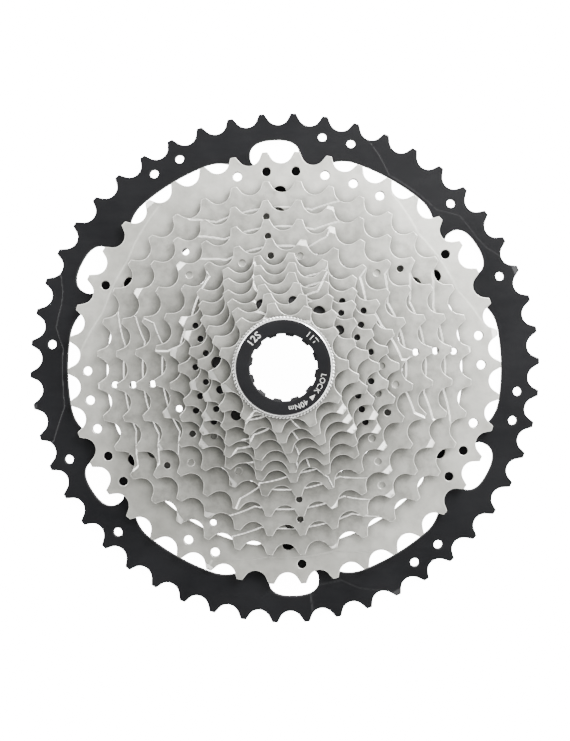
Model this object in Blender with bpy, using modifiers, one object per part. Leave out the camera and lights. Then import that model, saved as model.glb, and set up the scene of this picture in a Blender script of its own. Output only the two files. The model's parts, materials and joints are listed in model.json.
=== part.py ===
# Twelve-speed bicycle cassette, 11 to 50 teeth, lying flat on its largest sprocket.
# The spin axis is Z. The origin is on the axis, at the back face of the largest sprocket.
# Every length below is in millimetres and is turned into metres by mm().
import math

import bpy

# ---------------------------------------------------------------- driving sizes
CHAIN_PITCH = 12.7          # half-inch chain
ROLLER_SEAT = 3.875         # pitch circle down to the tooth root
SEAT_R = 4.7                # radius of the tooth gap
SEAT_ANGLE = 58.6           # where the gap turns into a straight flank, degrees each side
SEAT_SIDE = 43.0            # point of the arc that its facets pass through, degrees each side
TOOTH_HEIGHT = 4.61         # root to tip

TEETH = [50, 42, 36, 32, 28, 24, 21, 19, 17, 15, 13, 11]
FIRST_TOOTH = {50: 1.44, 42: 0.90, 36: 5.60, 32: 6.40, 28: 6.85, 24: 6.47,
               21: 0.67, 19: 9.75, 17: 0.46, 15: 9.00, 13: 19.60, 11: 2.60}

SPACING = 3.65              # sprocket to sprocket
ALLOY_T = 2.2               # largest sprocket
STEEL_T = 1.6               # all the others
GAP = 0.12                  # running gap between faces that touch on the real thing

SPLINE_R = 17.35            # bottom of the grooves in the bore
TAB_R = 16.10               # tips of the tabs that enter the freehub grooves
TABS = 9
TAB_HALF = 6.8              # half width of a tab, degrees
KEY_HALF = 4.2              # the one narrow tab
CLEAR_BORE_R = 26.0         # bore of the two largest, which hang inboard of the freehub

ARM_AT = [(28, 36.0), (50, 36.0), (62, 33.8), (78, 30.9), (92, 31.2)]  # arm centre, degrees, by radius
ARM_HALF = 8.5              # half width of an arm
RIVET_PCR = 31.5            # radius of the rivet circle
RIVET_R = 2.0
RIVET_HOLE_R = 2.4
RIVET_HEAD_R = 3.0
RIVET_HEAD_H = 1.0
RIVET_POCKET_R = 3.5        # clears a rivet head, in the first nylon spacer
SPACER_STEP = 0.6           # a nylon spacer stops this far inside the tooth roots above it

LOCK_FLANGE_R = 17.4
LOCK_FACE_R = 16.9
LOCK_FLANGE_T = 1.65
LOCK_THREAD_R = 15.2
LOCK_SLEEVE = 5.7
LOCK_BORE_R = 11.5
NOTCH_R = 12.1
NOTCHES = 12
WASHER_R = 18.3
WASHER_T = 0.62

# window through each spider sprocket, between two arms: outer edge, inner edge,
# sideways and radial size of its outer corners
WINDOW = {50: (86.9, 41.5, 22.3, 22.9), 42: (71.25, 41.5, 6.5, 9.0),
          36: (60.3, 27.5, 6.0, 7.0), 32: (52.3, 27.5, 5.5, 6.0),
          28: (46.1, 27.5, 5.0, 5.0), 24: (39.5, 27.5, 3.0, 3.0)}
# slot at the root of each forked arm: centre angle, half width, outer edge, inner edge
FORK = {50: (32.6, 9.9, 91.5, 80.2), 42: (31.4, 2.6, 71.9, 65.0), 36: (32.6, 2.9, 62.9, 56.0)}
# round holes drilled under the teeth: radius of the hole, radius of their circle, tooth numbers
HOLES = {50: (1.83, 93.61, (3, 6, 10, 11, 16, 17, 24, 28, 31, 42, 43, 48, 49)),
         42: (1.75, 77.94, (0, 1, 4, 7, 8, 9, 10, 11, 12, 18, 21, 22, 23, 24, 25, 28, 29, 32, 38, 39, 40))}


def mm(value):
    return value / 1000.0


def polar(r, degrees):
    a = math.radians(degrees)
    return (r * math.cos(a), r * math.sin(a))


def root_radius(teeth):
    return CHAIN_PITCH / (2 * math.sin(math.pi / teeth)) - ROLLER_SEAT


def front_face(index):
    """Height of the front face of a sprocket, counted from the largest."""
    return ALLOY_T + SPACING * index


# ---------------------------------------------------------------- outlines
def tooth_outline(teeth):
    """Each tooth gap is an arc that runs into two straight flanks, cut off at the tip circle."""
    root = root_radius(teeth)
    tip = root + TOOTH_HEIGHT
    bend = math.radians(SEAT_ANGLE)
    flank_x, flank_y = SEAT_R * math.sin(bend), root + SEAT_R * (1 - math.cos(bend))
    slope_x, slope_y = math.cos(bend), math.sin(bend)
    # where the flank meets the tip circle
    b = flank_x * slope_x + flank_y * slope_y
    c = flank_x ** 2 + flank_y ** 2 - tip ** 2
    run = -b + math.sqrt(b * b - c)
    end = (flank_x + run * slope_x, flank_y + run * slope_y)
    side = math.radians(SEAT_SIDE)
    half = [(SEAT_R * math.sin(side), root + SEAT_R * (1 - math.cos(side))), end]
    profile = [(-x, y) for x, y in reversed(half)] + [(0.0, root)] + half
    points = []
    for i in range(teeth):
        middle = math.radians(FIRST_TOOTH[teeth] + (i + 0.5) * 360.0 / teeth)
        for x, y in profile:
            a = middle - math.atan2(x, y)
            points.append((math.hypot(x, y) * math.cos(a), math.hypot(x, y) * math.sin(a)))
    # the profile runs clockwise inside each gap, so the gaps are walked clockwise too
    ordered = []
    for i in reversed(range(teeth)):
        ordered += points[i * len(profile):(i + 1) * len(profile)]
    return ordered


def spline_outline():
    """Bore with nine inward tabs, one of them narrow."""
    points = []
    for i in range(TABS):
        middle = i * 360.0 / TABS
        half = KEY_HALF if i == 0 else TAB_HALF
        for r, offset in ((SPLINE_R, -half - 1), (TAB_R, -half), (TAB_R, half), (SPLINE_R, half + 1)):
            points.append(polar(r, middle + offset))
        points.append(polar(SPLINE_R, middle + 180.0 / TABS))
    return points


def circle(r, count, centre=(0.0, 0.0), turn=0.0):
    return [(centre[0] + r * math.cos(2 * math.pi * i / count + turn),
             centre[1] + r * math.sin(2 * math.pi * i / count + turn)) for i in range(count)]


def between(table, r):
    """Straight-line reading of a table of (radius, value)."""
    if r <= table[0][0]:
        return table[0][1]
    for (r0, v0), (r1, v1) in zip(table, table[1:]):
        if r <= r1:
            return v0 + (v1 - v0) * (r - r0) / (r1 - r0)
    return table[-1][1]


def arm_half(r, window):
    """Half width of an arm, which flares in an elliptical corner at the ring and at the hub."""
    outer, inner, side, tall = window
    wide = ARM_HALF
    s = (r - (outer - tall)) / tall
    if s > 0:
        wide += side * (1 - math.sqrt(max(0.0, 1 - s * s)))
    s = (inner + 3.5 - r) / 3.5
    if s > 0:
        wide += 3.0 * (1 - math.sqrt(max(0.0, 1 - s * s)))
    return wide


def window_outline(teeth, k):
    window = WINDOW[teeth]
    outer, inner, side, tall = window
    radii = [inner, inner + 3.0]
    if outer - tall > inner + 8.0:
        radii.append(outer - tall)
    bends = (25, 42, 58, 74) if teeth == 50 else (50,)
    radii += [outer - tall * (1 - math.sin(math.radians(a))) for a in bends]
    radii.append(outer)
    low, high = [], []
    for r in radii:
        half = math.degrees(arm_half(r, window) / r)
        centre = between(ARM_AT, r) + 60.0 * k
        low.append(polar(r, centre + half))
        high.append(polar(r, centre + 60.0 - half))

    def arc(r, steps):
        half = math.degrees(arm_half(r, window) / r)
        centre = between(ARM_AT, r) + 60.0 * k
        a, b = centre + half, centre + 60.0 - half
        return [polar(r, a + (b - a) * (i + 1) / (steps + 1)) for i in range(steps)]
    return low + arc(outer, 2) + list(reversed(high)) + list(reversed(arc(inner, 1)))


def fork_outline(teeth, k):
    """Rounded slot between the two legs of a forked arm."""
    degrees, half, outer, inner = FORK[teeth]
    count = 14 if teeth == 50 else 8
    middle, tall = (outer + inner) / 2, (outer - inner) / 2
    points = []
    for i in range(count):
        t = 2 * math.pi * (i + 0.5) / count
        # a superellipse, fuller than an ellipse
        x = math.copysign(abs(math.cos(t)) ** 0.75, math.cos(t)) * half
        r = middle + math.copysign(abs(math.sin(t)) ** 0.75, math.sin(t)) * tall
        points.append(polar(r, degrees + 60.0 * k + math.degrees(x / r)))
    return points


def rivet_places():
    return [polar(RIVET_PCR, 36.0 + 60.0 * k) for k in range(6)]


# ---------------------------------------------------------------- scene and materials
for old in list(bpy.data.objects):
    bpy.data.objects.remove(old, do_unlink=True)

parts = bpy.data.collections.new("cassette_sprocket")
tools = bpy.data.collections.new("cutters")
tools.hide_render = True
bpy.context.scene.collection.children.link(parts)
bpy.context.scene.collection.children.link(tools)

axis = bpy.data.objects.new("spin_axis", None)
parts.objects.link(axis)


def finish_of(name, colour, metallic, roughness):
    material = bpy.data.materials.new(name)
    material.use_nodes = True
    shader = material.node_tree.nodes["Principled BSDF"]
    shader.inputs["Base Color"].default_value = (*colour, 1.0)
    shader.inputs["Metallic"].default_value = metallic
    shader.inputs["Roughness"].default_value = roughness
    return material


NICKEL = ((0.60, 0.59, 0.56), 1.0, 0.38)
BLACK_ALLOY = ((0.030, 0.030, 0.034), 0.6, 0.42)
DARK_NYLON = ((0.025, 0.025, 0.027), 0.0, 0.55)
BRIGHT_STEEL = ((0.68, 0.68, 0.67), 1.0, 0.25)


def place(obj, name, finish):
    obj.name = name
    obj.data.name = name
    obj.data.materials.clear()
    obj.data.materials.append(finish_of(name + "_finish", *finish))
    parts.objects.link(obj)
    obj.parent = axis
    return obj


def sheet(outlines, low, high):
    """A flat outline with its holes, as a 2D curve extruded both ways."""
    curve = bpy.data.curves.new("outline", "CURVE")
    curve.dimensions = "2D"
    curve.fill_mode = "BOTH"
    curve.extrude = mm((high - low) / 2)
    for outline in outlines:
        spline = curve.splines.new("POLY")
        spline.points.add(len(outline) - 1)
        for point, (x, y) in zip(spline.points, outline):
            point.co = (mm(x), mm(y), 0.0, 1.0)
        spline.use_cyclic_u = True
    obj = bpy.data.objects.new("outline", curve)
    obj.location = (0, 0, mm((low + high) / 2))
    return obj


def meshed(obj):
    """The same solid as a welded mesh, so that Booleans can read it."""
    import bmesh
    bpy.context.scene.collection.objects.link(obj)
    bpy.context.view_layer.update()
    graph = bpy.context.evaluated_depsgraph_get()
    mesh = bpy.data.meshes.new_from_object(obj.evaluated_get(graph))
    solid = bmesh.new()
    solid.from_mesh(mesh)
    bmesh.ops.remove_doubles(solid, verts=solid.verts, dist=1e-6)
    bmesh.ops.recalc_face_normals(solid, faces=solid.faces)
    solid.to_mesh(mesh)
    solid.free()
    result = bpy.data.objects.new("solid", mesh)
    result.matrix_world = obj.matrix_world.copy()
    bpy.data.objects.remove(obj, do_unlink=True)
    return result


def turned(profile, steps):
    """A closed profile of (radius, height) points turned about Z."""
    mesh = bpy.data.meshes.new("profile")
    points = [(mm(r), 0.0, mm(z)) for r, z in profile]
    closed = [(i, (i + 1) % len(points)) for i in range(len(points))]
    if profile[0][0] == 0.0:
        closed = closed[:-1]
    mesh.from_pydata(points, closed, [])
    obj = bpy.data.objects.new("turned", mesh)
    screw = obj.modifiers.new("turn", "SCREW")
    screw.steps = screw.render_steps = steps
    screw.use_merge_vertices = True
    screw.merge_threshold = 1e-6
    screw.use_smooth_shade = True
    return obj


# ---------------------------------------------------------------- sprockets
for index, teeth in enumerate(TEETH):
    high = front_face(index)
    low = high - (ALLOY_T if teeth == 50 else STEEL_T)
    outlines = [tooth_outline(teeth)]
    outlines.append(circle(CLEAR_BORE_R, 36) if teeth in (50, 42) else spline_outline())
    if teeth in WINDOW:
        outlines += [window_outline(teeth, k) for k in range(6)]
        outlines += [circle(RIVET_HOLE_R, 6, centre) for centre in rivet_places()]
    if teeth in FORK:
        outlines += [fork_outline(teeth, k) for k in range(6)]
    if teeth in HOLES:
        size, ring, numbers = HOLES[teeth]
        outlines += [circle(size, 6, polar(ring, FIRST_TOOTH[teeth] + n * 360.0 / teeth)) for n in numbers]
    plate = sheet(outlines, low, high)
    if teeth in (13, 11):
        # the two smallest carry their own spacing collar on the back
        plate = meshed(plate)
        collar = turned([(SPLINE_R + 0.25, low + 0.5), (root_radius(teeth) - 0.35, low + 0.5),
                         (root_radius(teeth) - 0.35, low - (SPACING - STEEL_T) + GAP),
                         (SPLINE_R + 0.25, low - (SPACING - STEEL_T) + GAP)], 36)
        collar.name = "collar_%02d" % teeth
        collar.display_type = "WIRE"
        collar.hide_render = True
        tools.objects.link(collar)
        join = plate.modifiers.new("collar", "BOOLEAN")
        join.operation = "UNION"
        join.solver = "EXACT"
        join.object = collar
    place(plate, "sprocket_%02dt" % teeth, BLACK_ALLOY if teeth == 50 else NICKEL)

# ---------------------------------------------------------------- spacers
for index in range(10):
    inner, outer = TEETH[index], TEETH[index + 1]
    low = front_face(index) + GAP
    high = front_face(index + 1) - STEEL_T - GAP
    name = "spacer_%02d_%02d" % (inner, outer)
    if outer >= 36:
        # flat ring, clear of the freehub, that the rivets pass through
        ring = [circle(39.6, 30), circle(28.4, 24)]
        ring += [circle(RIVET_HOLE_R, 6, centre) for centre in rivet_places()]
        place(sheet(ring, low, high), name, BLACK_ALLOY)
    elif outer >= 24:
        # ring round the freehub with an ear at each rivet
        star = []
        for k in range(6):
            for r, offset in ((24.6, -17.0), (35.5, -8.2), (38.6, -3.5),
                              (38.6, 3.5), (35.5, 8.2), (24.6, 17.0)):
                star.append(polar(r, 36.0 + 60.0 * k + offset))
        ring = [star, circle(17.9, 24)]
        ring += [circle(RIVET_HOLE_R, 6, centre) for centre in rivet_places()]
        place(sheet(ring, low, high), name, BLACK_ALLOY)
    elif outer >= 15:
        # wide flat nylon disc, which the drilled holes above it look down on
        disc = [circle(root_radius(outer) - SPACER_STEP, 40), circle(17.9, 24)]
        if index == 5:
            disc += [circle(RIVET_POCKET_R, 8, centre) for centre in rivet_places()]
        place(sheet(disc, low, high), name, DARK_NYLON)

# ---------------------------------------------------------------- rivets
bottom, top = 0.0, front_face(5)
for number, (x, y) in enumerate(rivet_places()):
    rivet = turned([(0.0, top + GAP + RIVET_HEAD_H), (RIVET_HEAD_R * 0.7, top + GAP + RIVET_HEAD_H),
                    (RIVET_HEAD_R, top + GAP + 0.3), (RIVET_HEAD_R, top + GAP),
                    (RIVET_R, top + GAP), (RIVET_R, bottom + 0.1), (0.0, bottom + 0.1)], 10)
    rivet.location = (mm(x), mm(y), 0.0)
    place(rivet, "rivet_%d" % (number + 1), BRIGHT_STEEL)

# ---------------------------------------------------------------- washer and lockring
seat = front_face(11) + GAP
washer = turned([(15.5, seat + WASHER_T), (WASHER_R, seat + WASHER_T), (WASHER_R, seat), (15.5, seat)], 36)
place(washer, "lock_washer", BRIGHT_STEEL)

under = seat + WASHER_T + GAP
face = under + LOCK_FLANGE_T
ring = turned([(LOCK_BORE_R, face), (LOCK_FACE_R, face), (LOCK_FLANGE_R, face - 0.5), (LOCK_FLANGE_R, under),
               (LOCK_THREAD_R, under), (LOCK_THREAD_R, under - LOCK_SLEEVE), (LOCK_BORE_R, under - LOCK_SLEEVE)], 36)
notches = []
for i in range(NOTCHES):
    middle = 4.5 + i * 360.0 / NOTCHES
    for r, offset in ((10.6, -8.0), (NOTCH_R, -6.5), (NOTCH_R, 6.5), (10.6, 8.0)):
        notches.append(polar(r, middle + offset))
cutter = meshed(sheet([notches], under - LOCK_SLEEVE - 2.0, face + 2.0))
cutter.name = "tool_notches"
cutter.display_type = "WIRE"
cutter.hide_render = True
tools.objects.link(cutter)
place(ring, "lockring", BLACK_ALLOY)
cut = ring.modifiers.new("tool_socket", "BOOLEAN")
cut.operation = "DIFFERENCE"
cut.solver = "EXACT"
cut.object = cutter
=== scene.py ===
import json
import math

import bpy
import numpy as np
from mathutils import Matrix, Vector
from mathutils.geometry import delaunay_2d_cdt
from mathutils.kdtree import KDTree


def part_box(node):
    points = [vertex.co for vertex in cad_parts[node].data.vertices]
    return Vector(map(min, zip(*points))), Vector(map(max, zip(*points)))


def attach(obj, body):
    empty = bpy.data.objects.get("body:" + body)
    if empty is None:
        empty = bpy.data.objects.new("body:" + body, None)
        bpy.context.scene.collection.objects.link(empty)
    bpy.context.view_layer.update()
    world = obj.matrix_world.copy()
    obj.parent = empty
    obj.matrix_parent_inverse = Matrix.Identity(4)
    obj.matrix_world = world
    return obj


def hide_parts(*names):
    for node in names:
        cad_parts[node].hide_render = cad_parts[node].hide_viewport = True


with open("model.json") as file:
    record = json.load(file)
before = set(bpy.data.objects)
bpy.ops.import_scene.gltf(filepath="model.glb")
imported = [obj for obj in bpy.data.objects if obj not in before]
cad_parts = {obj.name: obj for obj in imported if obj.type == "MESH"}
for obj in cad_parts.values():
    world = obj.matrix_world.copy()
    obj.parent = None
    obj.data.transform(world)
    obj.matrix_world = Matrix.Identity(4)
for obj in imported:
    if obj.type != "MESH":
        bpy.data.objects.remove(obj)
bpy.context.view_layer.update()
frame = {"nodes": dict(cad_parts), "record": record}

# ---------------------------------------------------------------- driving sizes, millimetres
CHAIN_PITCH, ROLLER_SEAT, SEAT_R, SEAT_ANGLE, TOOTH_HEIGHT = 12.7, 3.875, 4.7, 58.6, 4.61
TEETH = [50, 42, 36, 32, 28, 24, 21, 19, 17, 15, 13, 11]
FIRST_TOOTH = {50: 1.44, 42: 0.90, 36: 5.60, 32: 6.40, 28: 6.85, 24: 6.47,
               21: 0.67, 19: 9.75, 17: 0.46, 15: 9.00, 13: 19.60, 11: 2.60}
SPLINE_R, TAB_R, TABS, TAB_HALF, KEY_HALF = 17.35, 16.10, 9, 6.8, 4.2
CLEAR_BORE_R = 26.0
ARM_AT = [(28, 36.0), (50, 36.0), (62, 33.8), (78, 30.9), (92, 31.2)]
ARM_HALF = 8.5
RIVET_PCR, RIVET_R, RIVET_HOLE_R = 31.5, 2.0, 2.4
RIVET_POCKET_R, SPACER_STEP = 3.5, 0.6
WINDOW = {50: (86.9, 41.5, 22.3, 22.9), 42: (70.5, 41.5, 6.5, 9.0),
          36: (60.3, 27.5, 6.0, 7.0), 32: (52.3, 27.5, 5.5, 6.0),
          28: (45.45, 27.5, 5.0, 5.0), 24: (39.32, 27.5, 3.0, 3.0)}
# the punched windows of the forty-two sit a little off centre
WINDOW_SHIFT = {42: (0.05, -0.72)}
FORK = {50: (32.6, 9.9, 91.5, 80.2), 42: (31.4, 2.6, 71.9, 65.0), 36: (32.6, 2.9, 62.9, 56.0)}
# drilled holes: hole radius, circle radius, angles in degrees
HOLES = {
    50: (1.74, 93.61, [1.44 + 7.2 * n for n in (3, 6, 10, 11, 16, 17, 24, 28, 31, 42, 43, 48, 49)]),
    42: (1.75, 77.94, [0.90 + n * 360 / 42 for n in (0, 1, 4, 7, 8, 9, 10, 11, 12, 18, 21, 22, 23, 24, 25, 28, 29, 32, 38, 39, 40)]),
    36: (1.25, 66.73, [5.6, 185.7, 245.4]),
    32: (1.30, 59.06, [6.4, 40.5, 96.7, 130.3, 186.4, 219.9, 276.1, 309.75]),
    28: (1.25, 50.86, [6.8, 45.6, 97.0, 135.6, 187.0, 225.6, 276.6, 315.1]),
    24: (1.25, 42.77, [81.8, 96.7, 111.8, 201.35, 215.9, 246.2, 321.3, 336.6, 351.5]),
    21: (1.15, 36.64, [1.0, 35.6, 154.7, 206.0, 224.3, 326.3, 344.4]),
    19: (1.15, 32.71, [10.2, 29.0, 48.6, 161.0, 179.7, 198.8, 217.6, 331.9, 351.1]),
    17: (1.12, 29.07, [22.3, 43.6, 169.6, 190.5, 211.6, 339.4]),
}
# lightening holes of the fifteen: degrees, hole radius, circle radius
LIGHTENING = [(34.0, 1.75, 24.3), (57.5, 2.2, 23.8), (82.0, 1.7, 24.4), (109.6, 1.9, 24.2), (176.0, 2.2, 24.2), (199.4, 1.5, 24.3), (225.0, 2.0, 24.3)]
# drilled holes that do not go through
BLIND = {32: [309.75], 28: [45.6, 135.6, 225.6, 315.1], 24: [81.8, 111.8, 246.2, 321.3, 351.5], 21: [1.0, 224.3, 344.4]}


def mm(v):
    return np.asarray(v, float) / 1000.0


def polar(r, degrees):
    a = np.radians(degrees)
    return np.stack([r * np.cos(a), r * np.sin(a)], -1)


def root_radius(teeth):
    return CHAIN_PITCH / (2 * math.sin(math.pi / teeth)) - ROLLER_SEAT


def smooth(t):
    t = np.clip(t, 0, 1)
    return t * t * (3 - 2 * t)


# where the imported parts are: back face, front face
LEVEL = {}
for teeth in TEETH:
    low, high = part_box("sprocket_%02dt" % teeth)
    LEVEL[teeth] = [low.z * 1000, high.z * 1000]
THICK = {t: (LEVEL[t][1] - LEVEL[t][0]) for t in TEETH}
for teeth in (13, 11):
    THICK[teeth] = THICK[15]      # these two carry a collar behind the plate


# ---------------------------------------------------------------- outlines
def fillet(points, radii, steps):
    """Round the corners of a closed polygon; radius 0 leaves a corner as it is."""
    out = []
    n = len(points)
    for i in range(n):
        p, r = points[i], radii[i]
        if r <= 0:
            out.append(p)
            continue
        a, b = points[i - 1] - p, points[(i + 1) % n] - p
        la, lb = np.hypot(*a), np.hypot(*b)
        a, b = a / la, b / lb
        half = math.acos(max(-1.0, min(1.0, float(a @ b)))) / 2
        cut = min(r / math.tan(half), 0.48 * la, 0.48 * lb)
        r = cut * math.tan(half)
        centre = p + (a + b) / np.hypot(*(a + b)) * (r / math.sin(half))
        s, e = p + a * cut - centre, p + b * cut - centre
        t0, t1 = math.atan2(s[1], s[0]), math.atan2(e[1], e[0])
        turn = (t1 - t0 + math.pi) % (2 * math.pi) - math.pi
        for k in range(steps + 1):
            t = t0 + turn * k / steps
            out.append(centre + r * np.array([math.cos(t), math.sin(t)]))
    return np.array(out)


def tooth_outline(teeth, tip_round, lean=0.0, arc_steps=9):
    """Tooth gaps as arcs running into straight flanks, with rounded tip corners, anticlockwise."""
    root = root_radius(teeth)
    tip = root + TOOTH_HEIGHT
    bend = math.radians(SEAT_ANGLE)
    fx, fy = SEAT_R * math.sin(bend), root + SEAT_R * (1 - math.cos(bend))
    sx, sy = math.cos(bend), math.sin(bend)
    b = fx * sx + fy * sy
    c = fx * fx + fy * fy - tip * tip
    run = -b + math.sqrt(b * b - c)
    end = (fx + run * sx, fy + run * sy)
    arc = [(SEAT_R * math.sin(t), root + SEAT_R * (1 - math.cos(t))) for t in np.linspace(-bend, bend, 2 * arc_steps + 1)]
    gap = [(-end[0], end[1])] + arc + [end]
    marks = [tip_round] + [0.0] * len(arc) + [tip_round]
    points, radii = [], []
    for i in range(teeth):
        middle = FIRST_TOOTH[teeth] + (i + 0.5) * 360.0 / teeth
        for (x, y), r in zip(reversed(gap), reversed(marks)):
            rr = math.hypot(x, y)
            shift = lean * max(0.0, (rr - root - 1.0) / (TOOTH_HEIGHT - 1.0)) / rr
            a = math.radians(middle) - math.atan2(x, y) + shift
            points.append((rr * math.cos(a), rr * math.sin(a)))
            radii.append(r)
        # crown of the tooth, on the tip circle
        nxt = math.radians(FIRST_TOOTH[teeth] + (i + 1) * 360.0 / teeth) + lean / tip
        points.append((tip * math.cos(nxt), tip * math.sin(nxt)))
        radii.append(0.0)
    # each gap was walked from its low-angle flank upwards, ending on the crown of the next tooth
    return fillet(np.array(points), radii, 5)


def circle(r, count, centre=(0.0, 0.0), turn=0.0):
    t = np.linspace(0, 2 * np.pi, count, endpoint=False) + turn
    return np.stack([centre[0] + r * np.cos(t), centre[1] + r * np.sin(t)], -1)


def spline_outline():
    points, radii = [], []
    for i in range(TABS):
        middle = i * 360.0 / TABS
        half = KEY_HALF if i == 0 else TAB_HALF
        gap_from, gap_to = middle + half + 1, middle + 360.0 / TABS - (TAB_HALF if i + 1 < TABS else KEY_HALF) - 1
        for r, a, f in ((SPLINE_R, middle - half - 1, 0.35), (TAB_R, middle - half, 0.3)):
            points.append(polar(r, a))
            radii.append(f)
        for s in np.linspace(-half, half, 6)[1:-1]:
            points.append(polar(TAB_R, middle + s))
            radii.append(0)
        for r, a, f in ((TAB_R, middle + half, 0.3), (SPLINE_R, middle + half + 1, 0.35)):
            points.append(polar(r, a))
            radii.append(f)
        for a in np.linspace(gap_from, gap_to, 9)[1:-1]:
            points.append(polar(SPLINE_R, a))
            radii.append(0)
    return fillet(np.array(points), radii, 3)


def between(table, r):
    return float(np.interp(r, [a for a, _ in table], [b for _, b in table]))


def arm_half(r, window):
    outer, inner, side, tall = window
    wide = ARM_HALF
    s = (r - (outer - tall)) / tall
    if s > 0:
        wide += side * (1 - math.sqrt(max(0.0, 1 - s * s)))
    s = (inner + 3.5 - r) / 3.5
    if s > 0:
        wide += 3.0 * (1 - math.sqrt(max(0.0, 1 - s * s)))
    return wide


def resample(points, step):
    """The same closed line with points about step apart."""
    p = np.vstack([points, points[:1]])
    d = np.hypot(*np.diff(p, axis=0).T)
    s = np.concatenate([[0], np.cumsum(d)])
    n = max(12, int(s[-1] / step))
    t = np.linspace(0, s[-1], n, endpoint=False)
    return np.stack([np.interp(t, s, p[:, 0]), np.interp(t, s, p[:, 1])], -1)


def window_outline(teeth, k):
    window = WINDOW[teeth]
    outer, inner, side, tall = window
    radii = list(inner + 3.5 * (1 - np.cos(np.linspace(0, np.pi / 2, 10))))
    radii += list(np.linspace(inner + 3.5, outer - tall, 8)[1:-1])
    radii += list(outer - tall * (1 - np.sin(np.linspace(0, np.pi / 2, 26))))
    low, high = [], []
    for r in radii:
        half = math.degrees(arm_half(r, window) / r)
        centre = between(ARM_AT, r) + 60.0 * k
        low.append(polar(r, centre + half))
        high.append(polar(r, centre + 60.0 - half))

    def arc(r):
        half = math.degrees(arm_half(r, window) / r)
        centre = between(ARM_AT, r) + 60.0 * k
        a, b = centre + half, centre + 60.0 - half
        n = max(3, int(math.radians(b - a) * r / 1.2))
        return [polar(r, a + (b - a) * (i + 1) / (n + 1)) for i in range(n)]
    return resample(np.array(low + arc(outer) + high[::-1] + arc(inner)[::-1]), 0.7)


def fork_outline(teeth, k):
    degrees, half, outer, inner = FORK[teeth]
    middle, tall = (outer + inner) / 2, (outer - inner) / 2
    t = np.linspace(0, 2 * np.pi, 160, endpoint=False)
    x = np.sign(np.cos(t)) * np.abs(np.cos(t)) ** 0.75 * half
    r = middle + np.sign(np.sin(t)) * np.abs(np.sin(t)) ** 0.75 * tall
    a = np.radians(degrees + 60.0 * k) + x / r
    return resample(np.stack([r * np.cos(a), r * np.sin(a)], -1), 0.5)


def rivet_places():
    return [polar(RIVET_PCR, 36.0 + 60.0 * k) for k in range(6)]


# ---------------------------------------------------------------- plate with rounded edges
def turned_to(points, anticlockwise):
    x, y = points[:, 0], points[:, 1]
    area = np.sum(x * np.roll(y, -1) - np.roll(x, -1) * y)
    return points if (area > 0) == anticlockwise else points[::-1]


def inward(points):
    """Unit vectors into the material, which is on the left of the line, with their mitre."""
    e = np.roll(points, -1, 0) - points
    e /= np.maximum(np.hypot(e[:, 0], e[:, 1]), 1e-9)[:, None]
    n = np.stack([-e[:, 1], e[:, 0]], -1)
    v = n + np.roll(n, 1, 0)
    v /= np.maximum(np.hypot(v[:, 0], v[:, 1]), 1e-9)[:, None]
    mitre = 1 / np.maximum(0.75, np.sum(v * n, -1))
    return v, mitre


def in_polygons(points, loops):
    """Even-odd test of many points against closed lines."""
    a = np.vstack(loops)
    b = np.vstack([np.roll(l, -1, 0) for l in loops])
    inside = np.zeros(len(points), bool)
    for s in range(0, len(points), 4000):
        p = points[s:s + 4000]
        up = (a[None, :, 1] > p[:, None, 1]) != (b[None, :, 1] > p[:, None, 1])
        with np.errstate(divide="ignore", invalid="ignore"):
            x = (b[None, :, 0] - a[None, :, 0]) * (p[:, None, 1] - a[None, :, 1]) / (b[None, :, 1] - a[None, :, 1]) + a[None, :, 0]
        inside[s:s + 4000] = (np.sum(up & (p[:, None, 0] < x), 1) % 2).astype(bool)
    return inside


def triangles(loops, free):
    """Constrained triangulation of the area between closed lines, as indices into loops then free."""
    points = np.vstack(loops + ([free] if len(free) else []))
    edges, at = [], 0
    for l in loops:
        n = len(l)
        edges += [(at + i, at + (i + 1) % n) for i in range(n)]
        at += n
    fixed = at
    out = delaunay_2d_cdt([tuple(p) for p in points], edges, [], 0, 1e-6)
    back = [o[0] if o else -1 for o in out[3]]
    tri = np.array([[back[i] for i in f] for f in out[2] if len(f) == 3], int)
    tri = tri[(tri >= 0).all(1)]
    p = points[tri]
    area = (p[:, 1, 0] - p[:, 0, 0]) * (p[:, 2, 1] - p[:, 0, 1]) - (p[:, 2, 0] - p[:, 0, 0]) * (p[:, 1, 1] - p[:, 0, 1])
    tri[area < 0] = tri[area < 0][:, ::-1]
    tri = tri[np.abs(area) > 1e-12]
    test = (tri < fixed).all(1)
    keep = np.ones(len(tri), bool)
    keep[test] = in_polygons(points[tri[test]].mean(1), loops)
    return points, tri[keep]


TOP_TURN = np.radians([0, 30, 60, 90])


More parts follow.
